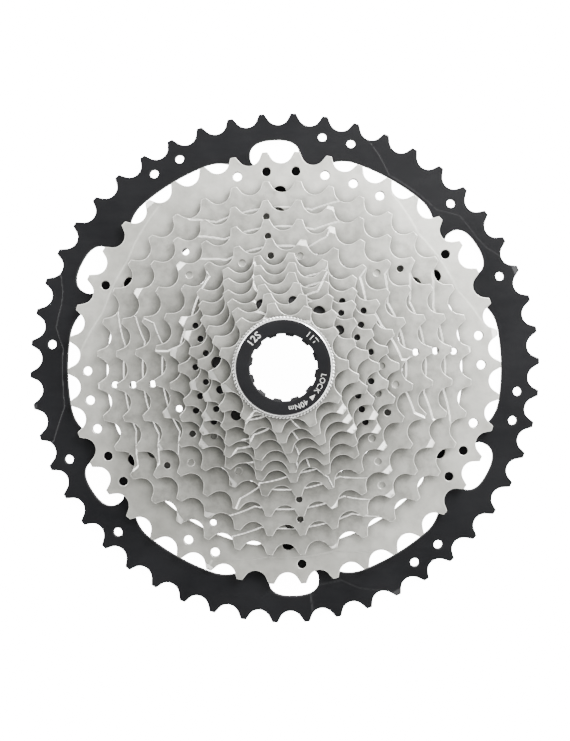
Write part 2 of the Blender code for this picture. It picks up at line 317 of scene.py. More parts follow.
def plate(name, outer, holes, low, high, drop=None, fine=(), edge=0.29, back_edge=0.16, collar=None, polish_and_highlight=0.0, punched=()):
    """A flat plate with rounded edges. drop(x, y) lowers its front; fine are extra points for that.

    Holes in punched keep a sharp edge without the lighter rubbed edge; the walls of these holes take the second
    material, painted dark as shade."""
    if drop is None:
        drop = lambda p: np.zeros(len(p))
    loops = [turned_to(np.asarray(outer, float), True)] + [turned_to(np.asarray(h, float), False) for h in holes]
    dirs = [inward(l) for l in loops]
    rings = [("back", back_edge, 0.0)] + [("wall", 0.0, back_edge)] + [("top", edge * (1 - math.cos(t)), edge * (1 - math.sin(t))) for t in TOP_TURN]
    verts, normals, wear_and_highlight, start = [], [], [], {}
    count = 0

    def slope(p):
        h = 0.04
        dx = (drop(p + [h, 0]) - drop(p - [h, 0])) / (2 * h)
        dy = (drop(p + [0, h]) - drop(p - [0, h])) / (2 * h)
        n = np.stack([dx, dy, np.ones(len(p))], -1)
        return n / np.linalg.norm(n, axis=1)[:, None]
    for j, (kind, d, fall) in enumerate(rings):
        for i, (l, (v, m)) in enumerate(zip(loops, dirs)):
            crisp = i - 1 in punched
            if crisp and kind == "top":
                d_i, fall_i = 0.14 * d, 0.14 * fall
            else:
                d_i, fall_i = d, fall
            p = l + v * (d_i * m)[:, None]
            out = np.column_stack([-v, np.zeros(len(v))])
            # w lightens the colour along the edges: partly real wear, partly a painted highlight
            if kind == "back":
                z, n, w = np.full(len(p), low), np.tile([0.0, 0, -1], (len(p), 1)), 0.6
            elif kind == "wall":
                z, n, w = np.full(len(p), low + fall), out, 0.25
            else:
                t = TOP_TURN[j - 2]
                z = high - fall_i - drop(l)
                ground = slope(p)
                n = out * math.cos(t) + ground * math.sin(t)
                n /= np.linalg.norm(n, axis=1)[:, None]
                w = 0.0 if crisp else (0.3, 0.6, 0.5, 0.0)[j - 2]
            start[j, i] = count
            count += len(p)
            verts.append(np.column_stack([p, z]))
            normals.append(n)
            w = np.full(len(p), w)
            # tilted ground faces take the lighter colour as well: partly real polish, partly a painted highlight
            if kind == "top" and j == len(rings) - 1:
                w = np.maximum(w, polish_and_highlight * smooth((0.975 - ground[:, 2]) / 0.04))
            wear_and_highlight.append(w)
    faces, second = [], []
    for j in range(len(rings) - 1):
        for i, l in enumerate(loops):
            a, b, n = start[j, i], start[j + 1, i], len(l)
            k = np.arange(n)
            k1 = (k + 1) % n
            faces.append(np.column_stack([a + k, a + k1, b + k1, b + k]))
            # walls of punched holes take the second material, painted dark as shade
            second += [int(j < 2 and i - 1 in punched)] * n
    top = len(rings) - 1
    top_loops = [verts[top * len(loops) + i][:, :2] for i in range(len(loops))]
    fine = np.asarray(fine, float).reshape(-1, 2)
    if len(fine):
        tree = KDTree(sum(len(l) for l in top_loops))
        flat, dirs_flat = np.vstack(top_loops), np.vstack([v for v, _ in dirs])
        for i, p in enumerate(flat):
            tree.insert((p[0], p[1], 0), i)
        tree.balance()
        keep = []
        for q in fine:
            _, i, dist = tree.find((q[0], q[1], 0))
            if dist > 0.2 and (q - flat[i]) @ dirs_flat[i] > 0.12:
                keep.append(q)
        fine = np.array(keep).reshape(-1, 2)
        # points beside a far straight run can pass the test above from outside
        fine = fine[in_polygons(fine, top_loops)] if len(fine) else fine
    pts, tri = triangles(top_loops, fine)
    index = np.concatenate([start[top, i] + np.arange(len(l)) for i, l in enumerate(top_loops)] + [count + np.arange(len(fine))])
    tops = index[tri]
    if len(fine):
        verts.append(np.column_stack([fine, high - drop(fine)]))
        ground = slope(fine)
        normals.append(ground)
        # tilted ground faces lighter: partly real polish, partly a painted highlight
        wear_and_highlight.append(polish_and_highlight * smooth((0.975 - ground[:, 2]) / 0.04))
        count += len(fine)
    # back face
    back_loops = [verts[i][:, :2] for i in range(len(loops))]
    if collar:
        r_in, r_out, z_low = collar
        rims = [circle(r_out, 120), circle(r_in, 120)]
        pts, tri = triangles(back_loops + rims, np.zeros((0, 2)))
        total = sum(len(l) for l in back_loops)
        # the test is even-odd, so the ring between the two circles is already out
        index = np.concatenate([start[0, i] + np.arange(len(l)) for i, l in enumerate(back_loops)] + [count + np.arange(240)])
        r = np.hypot(*pts[tri].mean(1).T)
        tri = tri[(r > r_out * 0.9995) | (r < r_in * 1.0005)]
        backs = index[tri][:, ::-1]
        a = count
        for ring, z, sign in ((rims[0], low, 1), (rims[1], low, -1), (rims[0], z_low, 1), (rims[1], z_low, -1)):
            verts.append(np.column_stack([ring, np.full(120, z)]))
            normals.append(np.column_stack([sign * ring / np.hypot(*ring[0]), np.zeros(120)]))
            wear_and_highlight.append(np.full(120, 0.2))
            count += 120
        k = np.arange(120)
        k1 = (k + 1) % 120
        faces.append(np.column_stack([a + 240 + k, a + 240 + k1, a + k1, a + k]))
        faces.append(np.column_stack([a + 360 + k1, a + 360 + k, a + 120 + k, a + 120 + k1]))
        faces.append(np.column_stack([a + 360 + k, a + 360 + k1, a + 240 + k1, a + 240 + k]))
        sharp = True
    else:
        pts, tri = triangles(back_loops, np.zeros((0, 2)))
        index = np.concatenate([start[0, i] + np.arange(len(l)) for i, l in enumerate(back_loops)])
        backs = index[tri][:, ::-1]
    verts, normals, wear_and_highlight = np.vstack(verts), np.vstack(normals), np.concatenate(wear_and_highlight)
    polys = [f.tolist() for f in faces] + [tops.tolist(), backs.tolist()]
    mesh = bpy.data.meshes.new(name)
    mesh.from_pydata(mm(verts).tolist(), [], [f for group in polys for f in group])
    mesh.polygons.foreach_set("use_smooth", [True] * len(mesh.polygons))
    mesh.attributes.new("wear_and_highlight", "FLOAT", "POINT").data.foreach_set("value", wear_and_highlight.astype(np.float32))
    if any(second):
        mesh.polygons.foreach_set("material_index", second + [0] * (len(mesh.polygons) - len(second)))
    mesh.update()
    mesh.normals_split_custom_set_from_vertices(normals.tolist())
    obj = bpy.data.objects.new(name, mesh)
    bpy.context.scene.collection.objects.link(obj)
    return obj


def lathe(name, rings, count=180, sharp=35.0, close=True):
    """Closed loops round Z, each a function of angle or a plain (radius, height)."""
    t = np.linspace(0, 2 * np.pi, count, endpoint=False)
    verts = []
    for ring in rings:
        r, z = ring(t) if callable(ring) else ring
        r, z = np.broadcast_to(r, t.shape), np.broadcast_to(z, t.shape)
        verts.append(np.column_stack([r * np.cos(t), r * np.sin(t), z]))
    faces = []
    m = len(rings)
    k = np.arange(count)
    k1 = (k + 1) % count
    for j in range(m if close else m - 1):
        a, b = j * count, ((j + 1) % m) * count
        faces.append(np.column_stack([a + k, a + k1, b + k1, b + k]))
    mesh = bpy.data.meshes.new(name)
    mesh.from_pydata(mm(np.vstack(verts)).tolist(), [], np.vstack(faces).tolist())
    mesh.polygons.foreach_set("use_smooth", [True] * len(mesh.polygons))
    mesh.update()
    mesh.set_sharp_from_angle(angle=math.radians(sharp))
    obj = bpy.data.objects.new(name, mesh)
    bpy.context.scene.collection.objects.link(obj)
    return obj


# ---------------------------------------------------------------- materials
class Nodes:
    def __init__(self, name):
        self.material = bpy.data.materials.new(name)
        self.material.use_nodes = True
        self.tree = self.material.node_tree
        self.shader = self.tree.nodes["Principled BSDF"]
        self.place = self.tree.nodes.new("ShaderNodeTexCoord").outputs["Object"]

    def link(self, a, b):
        self.tree.links.new(a, b)

    def noise(self, scale, detail=2.0, rough=0.5, offset=0.0, stretch=None):
        source = self.place
        if offset or stretch:
            m = self.tree.nodes.new("ShaderNodeMapping")
            m.inputs["Location"].default_value = (offset, offset * 0.7, 0)
            if stretch:
                m.inputs["Scale"].default_value = stretch
            self.link(source, m.inputs["Vector"])
            source = m.outputs["Vector"]
        n = self.tree.nodes.new("ShaderNodeTexNoise")
        n.inputs["Scale"].default_value = scale
        n.inputs["Detail"].default_value = detail
        n.inputs["Roughness"].default_value = rough
        self.link(source, n.inputs["Vector"])
        return n.outputs["Fac"]

    def span(self, value, a, b, c, d):
        n = self.tree.nodes.new("ShaderNodeMapRange")
        n.inputs["From Min"].default_value, n.inputs["From Max"].default_value = a, b
        n.inputs["To Min"].default_value, n.inputs["To Max"].default_value = c, d
        self.link(value, n.inputs["Value"])
        return n.outputs["Result"]

    def maths(self, kind, a, b=None):
        n = self.tree.nodes.new("ShaderNodeMath")
        n.operation = kind
        for s, v in ((0, a), (1, b)):
            if v is None:
                continue
            if isinstance(v, (int, float)):
                n.inputs[s].default_value = v
            else:
                self.link(v, n.inputs[s])
        return n.outputs[0]

    def mix(self, fac, a, b):
        n = self.tree.nodes.new("ShaderNodeMix")
        n.data_type = "RGBA"
        for s, v in ((0, fac), (6, a), (7, b)):
            if isinstance(v, (int, float)):
                n.inputs[s].default_value = v
            elif isinstance(v, tuple):
                n.inputs[s].default_value = (*v, 1.0)
            else:
                self.link(v, n.inputs[s])
        return n.outputs[2]

    def attribute(self, name):
        n = self.tree.nodes.new("ShaderNodeAttribute")
        n.attribute_name = name
        return n.outputs["Fac"]

    def crevice(self, reach):
        """1 in the open, falling towards 0 where a neighbouring face stands close."""
        n = self.tree.nodes.new("ShaderNodeAmbientOcclusion")
        n.samples = 6
        n.inputs["Distance"].default_value = reach
        return n.outputs["AO"]

    def radius(self):
        s = self.tree.nodes.new("ShaderNodeSeparateXYZ")
        self.link(self.place, s.inputs[0])
        return self.maths("SQRT", self.maths("ADD", self.maths("MULTIPLY", s.outputs[0], s.outputs[0]),
                                             self.maths("MULTIPLY", s.outputs[1], s.outputs[1])))

    def bump(self, height, strength, distance, after=None):
        n = self.tree.nodes.new("ShaderNodeBump")
        n.inputs["Strength"].default_value = strength
        n.inputs["Distance"].default_value = distance
        self.link(height, n.inputs["Height"])
        if after is not None:
            self.link(after, n.inputs["Normal"])
        return n.outputs["Normal"]


def nickel(name, seed, tone=1.0, rough=0.48, stain=0.75):
    """Bead-blasted nickel plate: fine grain, faint cloudy tone, brighter and smoother along rubbed edges and ground
    faces (partly real wear, partly a painted highlight), and painted shade in the corners.
    """
    n = Nodes(name)
    n.shader.inputs["Metallic"].default_value = 1.0
    cloud = n.noise(60.0, 4.0, 0.6, seed)
    blot = n.noise(260.0, 3.0, 0.6, seed + 0.31)
    grain = n.noise(3200.0, 2.0, 0.6, seed)
    wear_and_highlight = n.attribute("wear_and_highlight")
    base = n.mix(n.span(cloud, 0.35, 0.65, 0.0, 1.0),
                 (0.592 * tone, 0.588 * tone, 0.545 * tone), (0.662 * tone, 0.658 * tone, 0.614 * tone))
    base = n.mix(n.span(blot, 0.42, 0.72, 0.0, stain), base, (0.38 * tone, 0.376 * tone, 0.346 * tone))
    # lighter colour along rubbed edges and ground faces: partly real wear, partly a painted highlight
    base = n.mix(n.maths("MULTIPLY", wear_and_highlight, 0.45), base, (0.88, 0.875, 0.86))
    # painted shade: the colour darkens to near-black where a neighbouring face stands close, in the corners under the
    # next sprocket
    base = n.mix(n.span(n.crevice(0.0042), 0.45, 0.97, 0.95, 0.0), base, (0.10, 0.10, 0.095))
    n.link(base, n.shader.inputs["Base Color"])
    r = n.span(cloud, 0.3, 0.7, rough - 0.035, rough + 0.045)
    r = n.maths("ADD", r, n.span(grain, 0.3, 0.7, -0.03, 0.03))
    r = n.maths("SUBTRACT", r, n.maths("MULTIPLY", wear_and_highlight, 0.17))
    n.link(r, n.shader.inputs["Roughness"])
    soft = n.bump(n.noise(420.0, 3.0, 0.6, seed), 0.5, 0.00008)
    n.link(n.bump(grain, 0.30, 0.000018, soft), n.shader.inputs["Normal"])
    return n.material


def black_anodised(name, seed, shade=1.0, rough=0.42):
    """Black anodised alloy: near-black, faint handling marks, greyer along rubbed edges, partly real wear and partly a
    painted highlight.
    """
    n = Nodes(name)
    n.shader.inputs["Metallic"].default_value = 0.0
    n.shader.inputs["Specular IOR Level"].default_value = 0.13
    cloud = n.noise(30.0, 4.0, 0.6, seed)
    grain = n.noise(2600.0, 2.0, 0.6, seed)
    marks = n.noise(130.0, 5.0, 0.7, seed + 0.2, (1.0, 3.2, 1.0))
    wear_and_highlight = n.attribute("wear_and_highlight")
    base = n.mix(n.span(cloud, 0.35, 0.65, 0.0, 1.0),
                 (0.0072 * shade, 0.0073 * shade, 0.0083 * shade), (0.0112 * shade, 0.0113 * shade, 0.0125 * shade))
    # greyer along rubbed edges and ground faces: partly real wear, partly a painted highlight
    base = n.mix(n.maths("MULTIPLY", wear_and_highlight, 0.36), base, (0.075, 0.076, 0.079))
    n.link(base, n.shader.inputs["Base Color"])
    r = n.span(marks, 0.35, 0.70, rough - 0.05, rough + 0.07)
    r = n.maths("SUBTRACT", r, n.maths("MULTIPLY", wear_and_highlight, 0.08))
    n.link(r, n.shader.inputs["Roughness"])
    soft = n.bump(n.noise(300.0, 2.0, 0.5, seed), 0.2, 0.00005)
    n.link(n.bump(grain, 0.25, 0.000015, soft), n.shader.inputs["Normal"])
    return n.material


def nylon(name, seed):
    """Moulded black nylon: dull, slightly mottled."""
    n = Nodes(name)
    n.shader.inputs["Metallic"].default_value = 0.0
    cloud = n.noise(90.0, 3.0, 0.6, seed)
    grain = n.noise(1500.0, 3.0, 0.6, seed)
    base = n.mix(cloud, (0.012, 0.012, 0.013), (0.026, 0.026, 0.027))
    n.link(base, n.shader.inputs["Base Color"])
    n.link(n.span(grain, 0.3, 0.7, 0.46, 0.60), n.shader.inputs["Roughness"])
    n.link(n.bump(grain, 0.4, 0.00003), n.shader.inputs["Normal"])
    return n.material


def painted_shade_wall(name, seed):
    """Walls of the punched windows: painted shade, a dark dull finish in place of the shadow these walls lie in."""
    n = Nodes(name)
    n.shader.inputs["Metallic"].default_value = 0.0
    n.shader.inputs["Specular IOR Level"].default_value = 0.05
    cloud = n.noise(500.0, 3.0, 0.6, seed)
    n.link(n.mix(cloud, (0.014, 0.014, 0.013), (0.045, 0.044, 0.041)), n.shader.inputs["Base Color"])
    n.link(n.span(cloud, 0.3, 0.7, 0.75, 0.9), n.shader.inputs["Roughness"])
    return n.material


def turned_steel(name, seed, rings=2600.0, tone=(0.66, 0.66, 0.645), rough=0.27):
    """Bright machined steel with fine circular tool marks."""
    n = Nodes(name)
    n.shader.inputs["Metallic"].default_value = 1.0
    wobble = n.noise(600.0, 2.0, 0.5, seed)
    lines = n.maths("SINE", n.maths("ADD", n.maths("MULTIPLY", n.radius(), rings * 6.2832),
                                    n.maths("MULTIPLY", wobble, 5.0)))
    cloud = n.noise(70.0, 3.0, 0.6, seed)
    base = n.mix(cloud, tuple(0.88 * c for c in tone), tone)
    n.link(base, n.shader.inputs["Base Color"])
    n.link(n.maths("ADD", n.span(cloud, 0.3, 0.7, rough - 0.04, rough + 0.05), n.maths("MULTIPLY", lines, 0.02)),
           n.shader.inputs["Roughness"])
    n.link(n.bump(lines, 0.15, 0.00001), n.shader.inputs["Normal"])
    return n.material


def paint(name, seed):
    """Printed white marking, slightly uneven."""
    n = Nodes(name)
    cloud = n.noise(900.0, 3.0, 0.6, seed)
    n.link(n.mix(n.span(cloud, 0.35, 0.6, 0.0, 1.0), (0.50, 0.50, 0.485), (0.74, 0.74, 0.72)), n.shader.inputs["Base Color"])
    n.link(n.span(cloud, 0.3, 0.7, 0.45, 0.6), n.shader.inputs["Roughness"])
    return n.material


# ---------------------------------------------------------------- shaping of the tooth ring
# shallow recesses milled into the front under the teeth: depth, edge width, corners as (degrees, mm above the root)
def ramp(a0, a1, a2, a3, low=-6.0):
    """From a0 on the root down to a1, along the bottom, and up from a2 to a3."""
    return [(a0 - 0.6, 6.0), (a0, 0.0), (a1, low), (a2, low), (a3, 0.0), (a3 + 0.6, 6.0)]


RECESS = {
    42: [(0.05, 1.1, ramp(11.5, 24, 45, 58.5)), (0.09, 1.1, ramp(127.5, 146, 163, 176)), (0.20, 0.9, ramp(249.5, 265, 285, 297))],
    36: [(0.55, 0.75, ramp(341, 352, 382, 393)), (0.55, 0.75, ramp(71.5, 80, 115, 122.5)),
         (0.55, 0.75, ramp(161, 172, 203, 214)), (0.55, 0.75, ramp(253, 262, 295, 302.5))],
    32: [(0.55, 0.75, ramp(341, 350, 387.7, 397)), (0.55, 0.75, ramp(69, 77.7, 115, 123)),
         (0.55, 0.75, ramp(161, 169.5, 208, 217.5)), (0.55, 0.75, ramp(250, 258, 295, 303))],
    28: [(0.55, 0.75, ramp(341, 350, 392, 403)), (0.55, 0.75, ramp(72, 79, 118, 128)),
         (0.55, 0.75, ramp(161, 170, 211.5, 220)), (0.55, 0.75, ramp(251.5, 258, 297, 307))],
    24: [(0.50, 0.75, ramp(4, 24, 40, 50, -4.5)), (0.50, 0.75, ramp(129, 150, 168, 172, -4.5)), (0.50, 0.75, ramp(258, 276, 288, 292, -4.5))],
    21: [(0.55, 0.70, ramp(67, 80, 104.5, 105.5, -5.0)), (0.55, 0.70, ramp(248, 262, 283.6, 284.6, -5.0))],
    19: [(0.60, 0.70, ramp(66, 78, 106.6, 108.5, -5.0)), (0.60, 0.70, ramp(240, 252, 275.4, 277.6, -5.0))],
    17: [(0.60, 0.70, ramp(66, 78, 106.8, 109.8, -5.0)), (0.60, 0.70, ramp(240, 252, 275.4, 279.5, -5.0))],
    15: [(0.60, 0.70, ramp(66, 78, 110, 114.5, -4.5)), (0.60, 0.70, ramp(246, 258, 276.5, 281.5, -4.5))],
    13: [(0.60, 0.70, ramp(62, 74, 104, 116.5, -4.2)), (0.60, 0.70, ramp(236, 250, 277, 285, -4.2))],
    11: [(0.55, 0.70, ramp(60, 76, 100, 112, -2.0)), (0.55, 0.70, ramp(236, 250, 270, 284, -2.0))],
    50: [(0.05, 0.5, [(26.5, 6), (27, 0), (31, -3.5), (34, -4.4), (41, -4.6), (46, -9.5), (53.5, -9.5), (53.5, 6)]),
         (0.07, 0.5, [(53.5, 6), (53.5, -9.5), (61.5, -9.5), (66, -4.2), (70, 0), (70.6, 6)]),
         (0.50, 0.5, [(156.5, 6), (157, 0), (161, -3.5), (164, -4.5), (170, -4.5), (175, -8.4), (184, -8.4), (184, 6)]),
         (0.50, 0.5, [(183.5, 6), (183.5, -8.4), (190, -8.0), (194, -4.2), (197.5, -0.5), (199, 6)]),
         (0.09, 0.5, [(250.5, 6), (251, 0), (255, -3.6), (259, -4.4), (264, -4.5), (268, -9.5), (277.3, -9.5), (277.3, 6)]),
         (0.42, 0.4, [(277.2, 6), (277.2, -9.2), (278.5, -9.2), (278.5, 6)]),
         (0.40, 2.0, [(276.6, 6), (276.6, -9.5), (285, -9.5), (289, -4.2), (294, 0), (294.6, 6)])],
}
# teeth whose fronts are ground to a slope: tooth number, slope, turn of the slope from outwards (degrees), start above the root
SLOPED = {
    50: [(3, 0.52, 0, 2.1), (26, 0.52, 0, 2.1), (41, 0.52, 0, 2.1)],
    42: [(1, 0.52, 0, 2.1), (15, 0.52, 0, 2.1), (29, 0.52, 0, 2.1)],
    36: [(0, 0.52, 0, 2.6), (18, 0.52, 0, 2.6), (28, 0.52, 20, 2.1), (23, 0.52, -20, 2.1)],
    32: [(13, 0.52, 0, 2.1), (27, 0.52, 0, 2.1), (29, 0.52, 0, 2.1), (21, 0.52, 15, 2.1), (6, 0.52, 0, 2.1)],
    28: [(24, 0.52, 0, 2.1), (5, 0.52, 0, 2.1), (22, 0.52, 30, 2.1), (10, 0.52, 0, 2.1), (16, 0.52, 0, 2.1)],
    24: [(5, 0.52, 0, 2.1), (21, 0.52, 0, 2.1), (13, 0.52, 0, 2.1), (16, 0.52, -20, 2.1)],
    21: [(13, 0.52, 0, 2.1), (19, 0.52, 0, 2.1), (9, 0.52, 0, 2.1), (10, 0.52, 0, 2.1)],
    19: [(11, 0.52, 0, 2.1), (17, 0.52, 0, 2.1), (8, 0.52, 0, 2.1)],
    17: [(10, 0.52, 0, 2.1), (15, 0.52, 0, 2.1), (9, 0.52, 0, 2.1)],
    15: [(8, 0.52, 0, 2.1), (13, 0.52, 0, 2.1)],
    13: [(6, 0.52, 25, 2.1), (11, 0.52, 0, 2.1)],
    11: [(6, 0.52, 25, 2.1)],
}


def segment_distance(x, y, poly):
    """Distance to a closed line, and whether each point is inside it."""
    d = np.full(x.shape, 1e9)
    inside = np.zeros(x.shape, bool)
    for (x0, y0), (x1, y1) in zip(poly, poly[1:] + poly[:1]):
        dx, dy = x1 - x0, y1 - y0
        t = np.clip(((x - x0) * dx + (y - y0) * dy) / (dx * dx + dy * dy + 1e-12), 0, 1)
        d = np.minimum(d, np.hypot(x - x0 - t * dx, y - y0 - t * dy))
        with np.errstate(divide="ignore", invalid="ignore"):
            cross = ((y0 > y) != (y1 > y)) & (x < (x1 - x0) * (y - y0) / (y1 - y0) + x0)
        inside ^= cross
    return d, inside


def shaping(teeth):
    """How far the front of a sprocket lies below its highest face, as a function of place."""
    root = root_radius(teeth)
    recess = RECESS.get(teeth, [])
    sloped = SLOPED.get(teeth, [])
    pitch = 360.0 / teeth

    def drop(p):
        r = np.hypot(p[:, 0], p[:, 1])
        a = np.degrees(np.arctan2(p[:, 1], p[:, 0]))
        out = np.zeros(len(p))
        near = r > root - 12
        for depth, soft, poly in recess:
            middle = (poly[0][0] + poly[-1][0]) / 2
            da = (a - middle + 180) % 360 - 180
            k = near & (np.abs(da) < (poly[-1][0] - poly[0][0]) / 2 + 14)
            if not k.any():
                continue
            x, y = np.radians(da[k]) * root, r[k] - root
            line = [(math.radians(q - middle) * root, h) for q, h in poly]
            d, inside = segment_distance(x, y, line)
            sd = np.where(inside, d, -d)
            out[k] = np.maximum(out[k], depth * smooth(sd / soft + 0.5))
        for tooth, slope, turn, begin in sloped:
            middle = FIRST_TOOTH[teeth] + tooth * pitch
            da = (a - middle + 180) % 360 - 180
            k = (np.abs(da) < pitch * 0.62) & (r > root - 1.5)
            if not k.any():
                continue
            x, y = np.radians(da[k]) * r[k], r[k] - root - begin
            t = math.radians(turn)
            s = x * math.sin(t) + y * math.cos(t)
            # the ground slope fades out where the tooth runs into its neighbours' gaps
            cut = slope * 0.5 * (s + np.sqrt(s * s + 0.006))
            side = smooth((pitch * 0.60 - np.abs(da[k])) / (pitch * 0.06))
            out[k] = np.maximum(out[k], cut * side)
        return np.minimum(out, 1.15)
    return drop


def fine_points(teeth, drop):
    """Points for the front mesh: close together where it bends, wider where it is flat."""
    root = root_radius(teeth)
    below = 8.0 if teeth < 50 else 10.5
    reach = root + TOOTH_HEIGHT + 0.3
    step = 0.36
    g = np.arange(-reach, reach + step, step)
    x, y = np.meshgrid(g, g)
    p = np.stack([x.ravel(), y.ravel()], -1)
    r = np.hypot(p[:, 0], p[:, 1])
    ring = (r > root - below) & (r < reach)
    z = np.zeros(len(p))
    z[ring] = drop(p[ring])
    z = z.reshape(x.shape)
    lo, hi = z.copy(), z.copy()
    for ax in (0, 1):
        for s in (-1, 1):
            q = np.roll(z, s, ax)
            lo, hi = np.minimum(lo, q), np.maximum(hi, q)
    bent = np.zeros(x.shape, bool)
    second = np.abs(4 * z - np.roll(z, 1, 0) - np.roll(z, -1, 0) - np.roll(z, 1, 1) - np.roll(z, -1, 1))
    bent = (second > 0.006)
    wide = np.zeros(x.shape, bool)
    wide[::4, ::4] = True
    keep = (bent | wide).ravel() & ring
    return p[keep]


def show(obj, node, body, finish, slot):
    obj.data.materials.clear()
    for m in (finish if isinstance(finish, list) else [finish]):
        obj.data.materials.append(m)
    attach(obj, body)
    if node:
        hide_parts(*([node] if isinstance(node, str) else node))
    return obj


BODY = {}
for body, members in frame["record"]["behaviour"]["bodies"].items():
    for member in members:
        BODY[member] = body

SLOT = {"sprocket_50t": "black_alloy"}
TIP_ROUND = {50: 0.30, 42: 0.34}
LEAN = {50: 0.22}

for index, teeth in enumerate(TEETH):
    node = "sprocket_%02dt" % teeth
    high = LEVEL[teeth][1]
    low = high - THICK[teeth]
    holes = [circle(CLEAR_BORE_R, 220) if teeth in (50, 42) else spline_outline()]
    if teeth in WINDOW:
        holes += [window_outline(teeth, k) + np.array(WINDOW_SHIFT.get(teeth, (0, 0))) for k in range(6)]
        holes += [circle(RIVET_HOLE_R - 0.15, 36, c) for c in rivet_places()]
    if teeth in FORK:
        holes += [fork_outline(teeth, k) for k in range(6)]
    if teeth in HOLES:
        size, ring, angles = HOLES[teeth]
        holes += [circle(size, 32, polar(ring, a)) for a in angles]
    if teeth == 15:
        holes += [circle(size, 44, polar(ring, a)) for a, size, ring in LIGHTENING]
    drop = shaping(teeth)
    collar = None
    if teeth in (13, 11):
        collar = (SPLINE_R + 0.25, root_radius(teeth) - 0.35, LEVEL[teeth][0])
    piece = plate("cog_%02d_plate" % teeth, tooth_outline(teeth, TIP_ROUND.get(teeth, 0.42), LEAN.get(teeth, 0.0)),
                  holes, low, high, drop, fine_points(teeth, drop), collar=collar, polish_and_highlight=1.0,
                  punched=range(1, 7) if teeth in (42, 28, 24) else ())
    if teeth == 50:
        finish = black_anodised("anodised_%02d" % teeth, 0.1)
    else:
        # tone per sprocket is painted light and shade: the outer sprockets lighter as they lie open to the light, the
        # inner ones darker, the twenty-four darkest in the shade of the twenty-one
        finish = nickel("nickel_%02d" % teeth, 0.13 * index, {42: 1.22, 36: 1.04, 32: 1.0, 24: 0.88}.get(teeth, 0.95), stain=0.35 if teeth == 42 else 0.75)
        # walls of the punched windows: painted shade
        if teeth in (42, 28, 24):
            finish = [finish, painted_shade_wall("window_wall_%02d" % teeth, 0.1 * index)]
    show(piece, node, BODY[node], finish, "black_alloy" if teeth == 50 else "satin_nickel_steel")

# ---------------------------------------------------------------- floors of the blind holes
for teeth, angles in BLIND.items():
    size, ring, _ = HOLES[teeth]
    high = LEVEL[teeth][1] - 0.34
    parts = []
    for a in angles:
        cx, cy = polar(ring, a)
        disc = lathe("floor", [(0.01, high - 0.04), (size * 0.5, high - 0.03), (size - 0.25, high), (size + 0.03, high + 0.06),
                               (size + 0.03, high - 0.6), (0.01, high - 0.6)][::-1], 28, close=False)
        disc.data.transform(Matrix.Translation((cx / 1000, cy / 1000, 0)))
        parts.append(disc)
    mesh = bpy.data.meshes.new("blind_hole_floors_%02d" % teeth)
    verts, faces = [], []
    for disc in parts:
        at = len(verts)
        verts += [tuple(v.co) for v in disc.data.vertices]
        faces += [[at + i for i in f.vertices] for f in disc.data.polygons]
        bpy.data.objects.remove(disc, do_unlink=True)
    mesh.from_pydata(verts, [], faces)
    mesh.polygons.foreach_set("use_smooth", [True] * len(mesh.polygons))
    mesh.update()
    mesh.set_sharp_from_angle(angle=math.radians(35))
    piece = bpy.data.objects.new(mesh.name, mesh)
    bpy.context.scene.collection.objects.link(piece)
    node = "sprocket_%02dt" % teeth
    show(piece, None, BODY[node], nickel("nickel_floor_%02d" % teeth, 0.05 * teeth, 0.95), "satin_nickel_steel")

# ---------------------------------------------------------------- spacers
for index in range(10):
    inner, outer = TEETH[index], TEETH[index + 1]
    node = "spacer_%02d_%02d" % (inner, outer)
    if node not in frame["nodes"]:
        continue
    low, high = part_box(node)
    low, high = low.z * 1000, high.z * 1000
    if outer >= 36:
        piece = plate("carrier_ring_%02d_%02d" % (inner, outer), circle(39.6, 300),
                      [circle(28.4, 220)] + [circle(RIVET_HOLE_R - 0.15, 32, c) for c in rivet_places()], low, high, edge=0.2)
        finish, slot = black_anodised("anodised_ring_%02d" % inner, 0.2 + index), "spacer_alloy"
    elif outer >= 24:
        star, radii = [], []
        for k in range(6):
            for r, offset, f in ((24.6, -17.0, 3.0), (35.5, -8.2, 2.0), (38.6, -3.5, 2.0),
                                 (38.6, 3.5, 2.0), (35.5, 8.2, 2.0), (24.6, 17.0, 3.0)):
                star.append(polar(r, 36.0 + 60.0 * k + offset))
                radii.append(f)
        piece = plate("carrier_star_%02d_%02d" % (inner, outer), resample(fillet(np.array(star), radii, 6), 0.8),
                      [circle(17.9, 160)] + [circle(RIVET_HOLE_R - 0.15, 32, c) for c in rivet_places()], low, high, edge=0.2)
        finish, slot = black_anodised("anodised_star_%02d" % inner, 0.4 + index), "spacer_alloy"
    else:
        holes = [circle(17.9, 160)]
        if index == 5:
            holes += [circle(RIVET_POCKET_R, 44, c) for c in rivet_places()]
        piece = plate("nylon_ring_%02d_%02d" % (inner, outer), circle(root_radius(outer) - SPACER_STEP, 260), holes, low, high, edge=0.3, back_edge=0.3)
        finish, slot = nylon("nylon_%02d" % inner, 0.3 + index), "black_nylon"
    show(piece, node, BODY[node], finish, slot)

# ---------------------------------------------------------------- rivets
steel = turned_steel("rivet_steel", 0.4, 4200.0)
for number, (cx, cy) in enumerate(rivet_places()):
    node = "rivet_%d" % (number + 1)
    low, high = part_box(node)
    bottom, top = low.z * 1000, high.z * 1000
    seat = top - 1.0
    rings = [(0.02, top - 0.02), (1.0, top - 0.03), (1.9, top - 0.14), (2.5, top - 0.36), (2.85, top - 0.66), (2.98, top - 0.9),
             (2.9, seat), (2.0, seat), (2.0, bottom + 1.2), (2.12, bottom + 0.6), (2.2, bottom + 0.15), (2.1, bottom), (1.2, bottom),
             (0.9, bottom + 0.35), (0.02, bottom + 0.4)]
    piece = lathe("rivet_shank_%d" % (number + 1), rings[::-1], 48, close=False)
    piece.data.transform(Matrix.Translation((cx / 1000, cy / 1000, 0)))
    show(piece, node, BODY[node], steel, "bright_steel")

